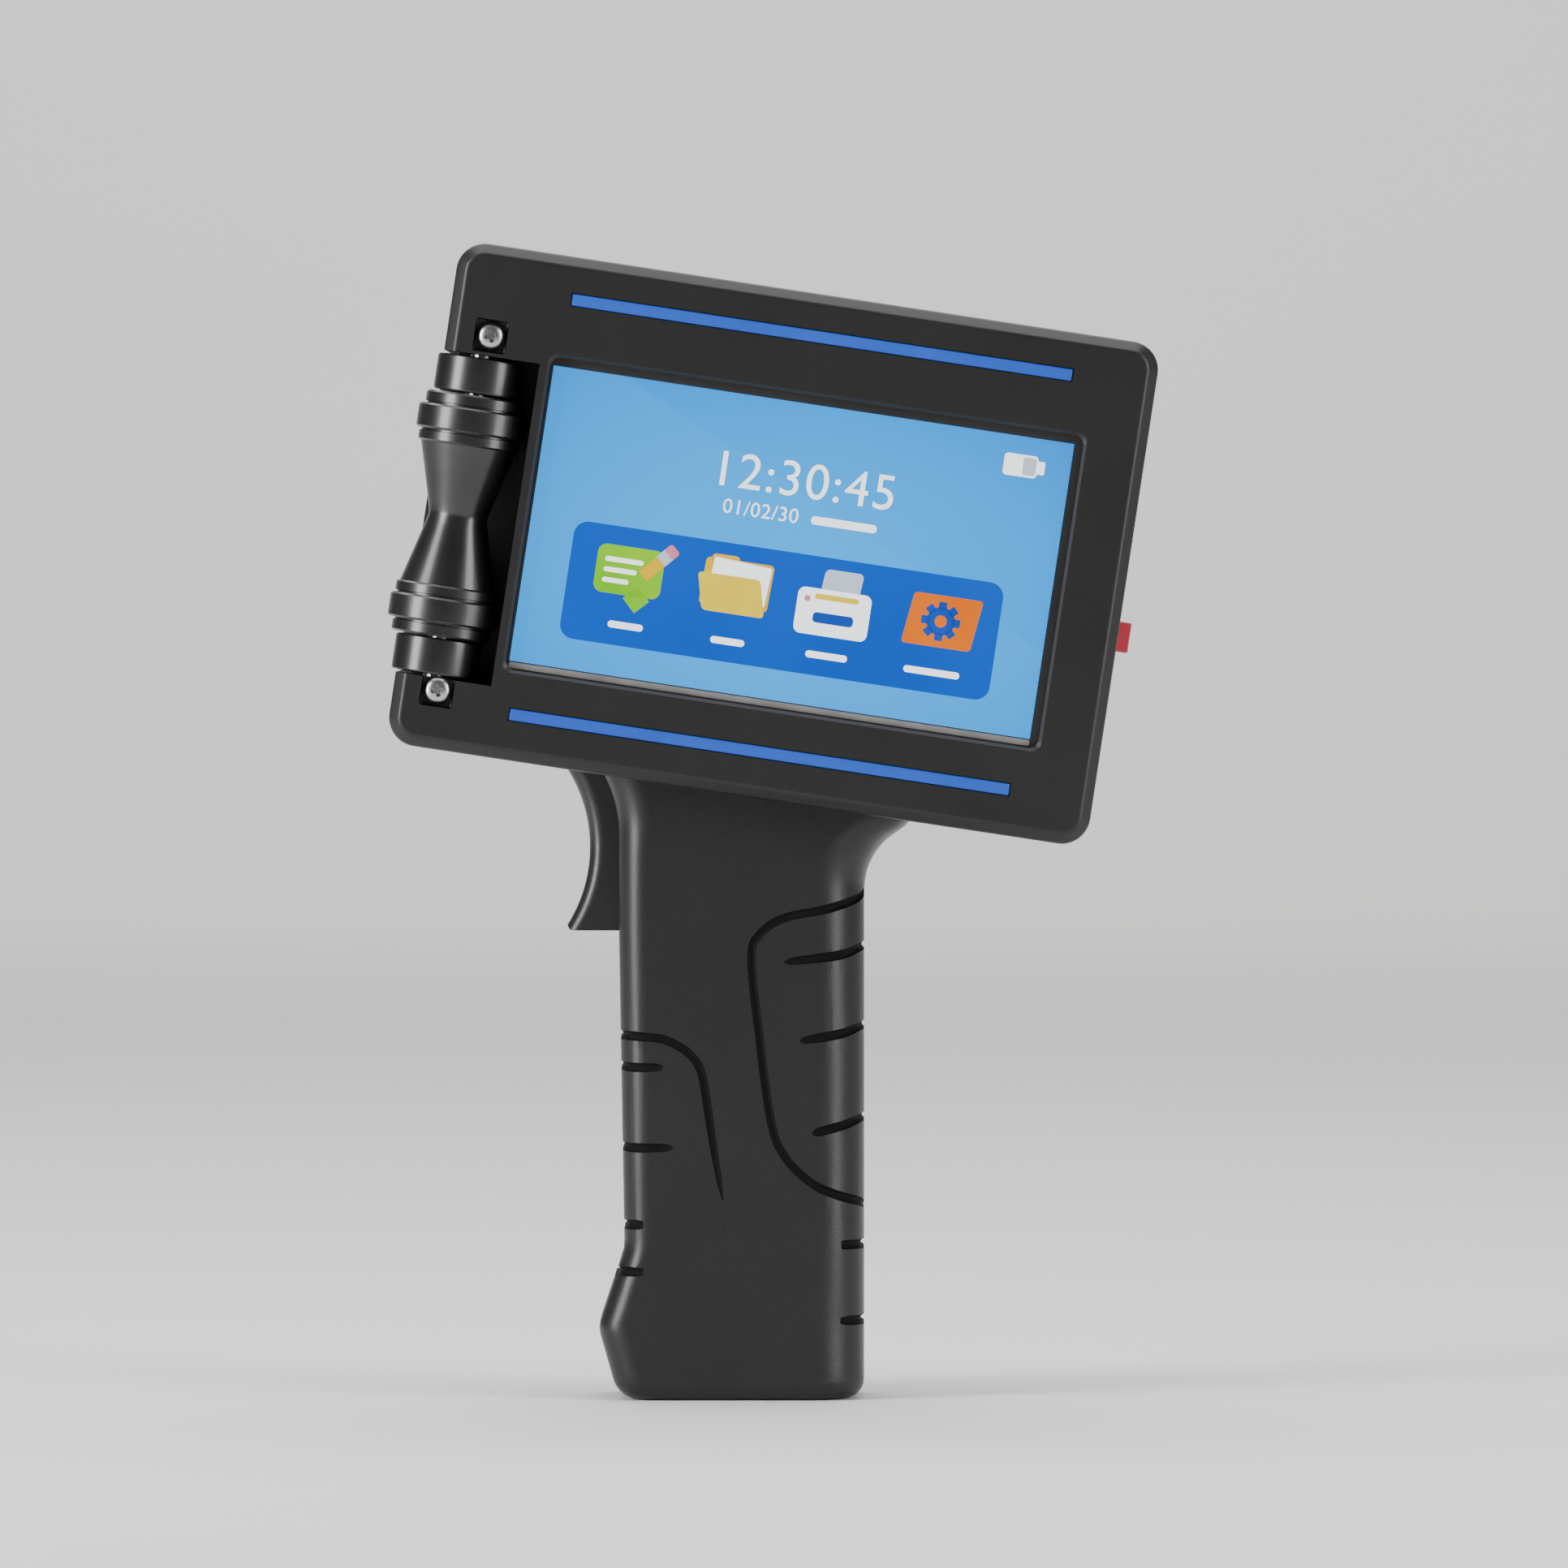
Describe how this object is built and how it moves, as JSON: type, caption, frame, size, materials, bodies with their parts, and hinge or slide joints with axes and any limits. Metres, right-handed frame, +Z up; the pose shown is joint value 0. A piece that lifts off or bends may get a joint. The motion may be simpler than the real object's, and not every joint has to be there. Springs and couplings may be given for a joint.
{
  "type": "label maker",
  "caption": "Pistol-grip inkjet coder for marking labels and cartons, with a tilted touch-screen head, hourglass guide rollers, a trigger and a rear ink door.",
  "frame": {"origin": "middle of the flat base of the grip", "axes": "+Z up the grip, +X to the right as seen from the screen side, +Y away from the screen, -Z the resting face of the base"},
  "size_m": [0.1393, 0.059, 0.2096],
  "materials": {
    "housing_black": "satin moulded, fine grain",
    "roller_black": "polished black",
    "bright_steel": "bright zinc",
    "blue_inlay": "satin",
    "screen_glass": "polished",
    "display": "lit display",
    "display_white": "lit display",
    "display_panel": "lit display",
    "display_icon": "lit display",
    "circuit_board": "solder mask",
    "red_rocker": "moulded red",
    "cartridge_shell": "moulded",
    "grey_moulding": "moulded",
    "black_component": "moulded",
    "red_component": "moulded",
    "cell_wrap": "shrink wrap",
    "magnet": "plain"
  },
  "bodies": {
    "housing": {"accent_strip_bottom": "blue_inlay", "accent_strip_top": "blue_inlay", "base_cap": "housing_black", "base_screw_left": "bright_steel", "base_screw_right": "bright_steel", "battery_board": "circuit_board", "battery_cell_left": "cell_wrap", "battery_cell_right": "cell_wrap", "battery_holder": "grey_moulding", "battery_lead": "black_component", "buzzer": "black_component", "cartridge_cradle": "grey_moulding", "contact_board": "circuit_board", "dc_jack": "black_component", "door_hinge_pin": "bright_steel", "encoder_board": "circuit_board", "front_bezel": "housing_black", "front_housing": "housing_black", "front_lower_bracket_screw": "bright_steel", "front_lower_collar": "roller_black", "front_roller_axle": "bright_steel", "front_upper_bracket_screw": "bright_steel", "front_upper_collar": "roller_black", "grip_screw_left": "bright_steel", "grip_screw_right": "bright_steel", "housing_screw_lower_left": "bright_steel", "housing_screw_lower_right": "bright_steel", "housing_screw_upper_left": "bright_steel", "housing_screw_upper_right": "bright_steel", "ink_cartridge": "cartridge_shell", "lcd_module": "display", "main_board": "circuit_board", "nozzle_plate": "bright_steel", "rear_housing": "housing_black", "rear_lower_bracket_screw": "bright_steel", "rear_lower_collar": "roller_black", "rear_upper_bracket_screw": "bright_steel", "rear_upper_collar": "roller_black", "rocker_contact_block": "grey_moulding", "rocker_frame": "housing_black", "touch_glass": "screen_glass", "trigger_pin": "bright_steel", "trigger_spring": "bright_steel", "trigger_switch": "black_component", "usb_port": "bright_steel"},
    "front_roller": {"front_guide_roller": "roller_black"},
    "rear_roller": {"rear_guide_roller": "roller_black", "rear_roller_axle": "bright_steel", "encoder_magnet": "magnet"},
    "trigger": {"trigger": "housing_black"},
    "switch_plunger": {"switch_plunger": "red_component"},
    "power_rocker": {"power_rocker": "red_rocker"},
    "cartridge_door": {"cartridge_door": "housing_black"},
    "cartridge_latch": {"cartridge_latch": "grey_moulding"}
  },
  "joints": [
    {"name": "front_roller_spin", "type": "hinge", "parent": "housing", "child": "front_roller", "pos_m": [-0.0513, -0.0195, 0.16049], "axis": [0.1495, 0, 0.9888], "continuous": true},
    {"name": "rear_roller_spin", "type": "hinge", "parent": "housing", "child": "rear_roller", "pos_m": [-0.0513, 0.0195, 0.16049], "axis": [0.1495, 0, 0.9888], "continuous": true},
    {"name": "trigger_pull", "type": "hinge", "parent": "housing", "child": "trigger", "pos_m": [-0.0265, 0, 0.1195], "axis": [0, -1, 0], "range_deg": [0, 6], "stiffness_Nm_per_rad": 0.4, "springref_deg": -8.59, "deforming": ["trigger_spring"]},
    {"name": "plunger_press", "type": "slide", "parent": "housing", "child": "switch_plunger", "axis": [1, 0, 0], "range_m": [0, 0.0013]},
    {"name": "power_rock", "type": "hinge", "parent": "housing", "child": "power_rocker", "pos_m": [0.06814, 0.0095, 0.13869], "axis": [-0.1495, 0, -0.9888], "range_deg": [0, 16]},
    {"name": "door_swing", "type": "hinge", "parent": "housing", "child": "cartridge_door", "pos_m": [0.0239, 0.026, 0.15479], "axis": [-0.1495, 0, -0.9888], "range_deg": [0, 90]},
    {"name": "latch_lift", "type": "slide", "parent": "housing", "child": "cartridge_latch", "axis": [0.1495, 0, 0.9888], "range_m": [0, 0.0025], "stiffness_N_per_m": 250, "springref_m": -0.001}
  ],
  "couplings": [
    {"joint": "plunger_press", "follows": "trigger_pull", "m_per_rad": 0.012}
  ]
}
